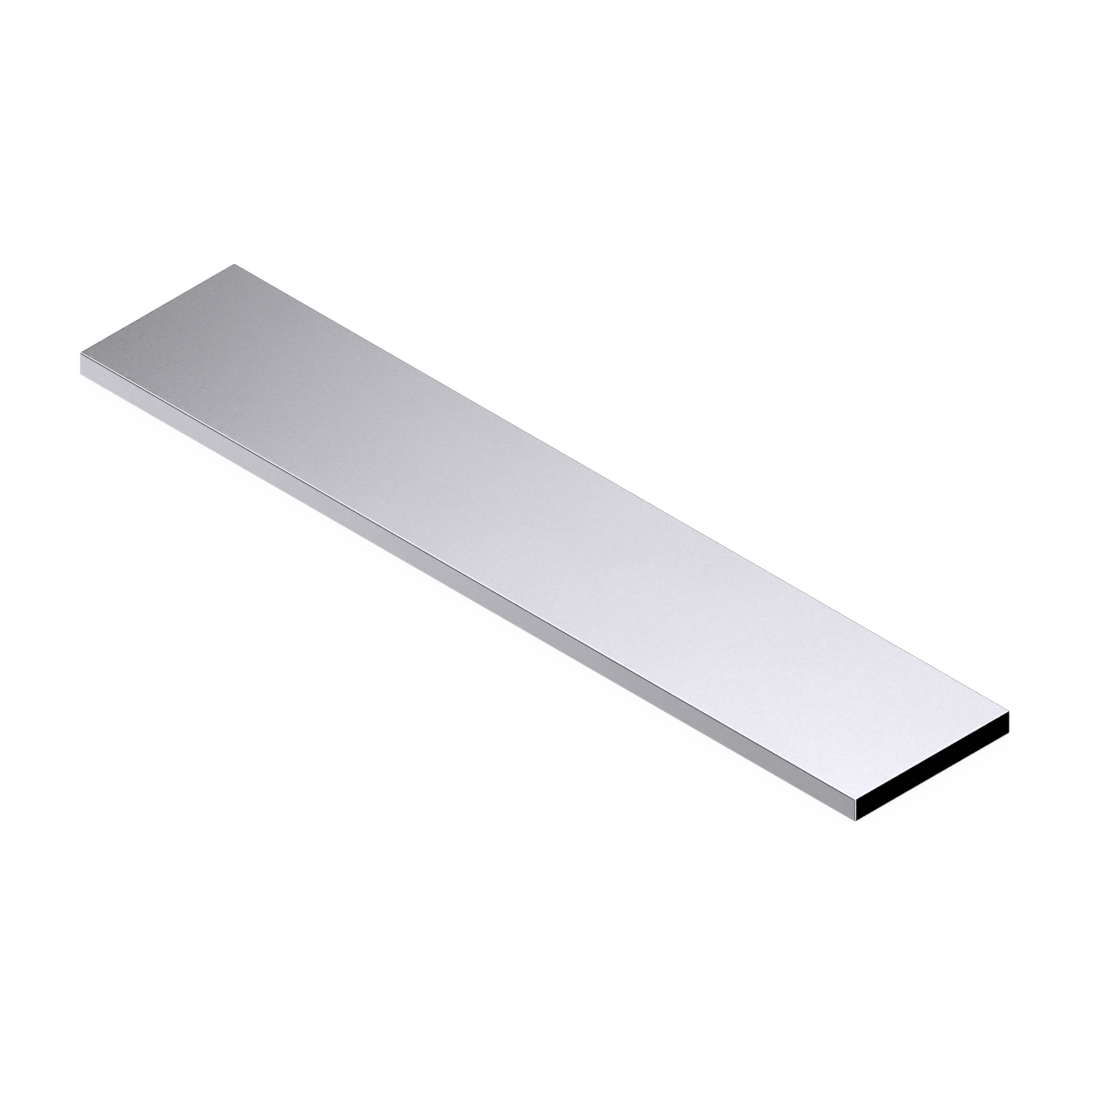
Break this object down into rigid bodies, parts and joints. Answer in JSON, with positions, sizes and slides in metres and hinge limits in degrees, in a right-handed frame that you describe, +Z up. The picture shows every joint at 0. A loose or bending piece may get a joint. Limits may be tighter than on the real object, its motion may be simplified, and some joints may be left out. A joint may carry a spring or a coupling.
{
  "type": "metal flat bar",
  "caption": "Short cut length of solid rectangular metal bar, wide and thin, with softly rounded long edges and square, deburred ends, for brackets, straps and frames.",
  "frame": {"origin": "middle of the underside, so the bar lies on a level surface at Z = 0", "axes": "+X along the bar, towards the end that is at the right of the picture; +Y across its width; +Z up, out of the upper broad face"},
  "size_m": [0.2, 0.04, 0.005],
  "materials": {
    "satin_steel": "satin, even fine grain without a direction, bare metal with brighter edges; both sawn end faces are matte black"
  },
  "bodies": {
    "root": {"flat_bar": "satin_steel"}
  },
  "joints": []
}
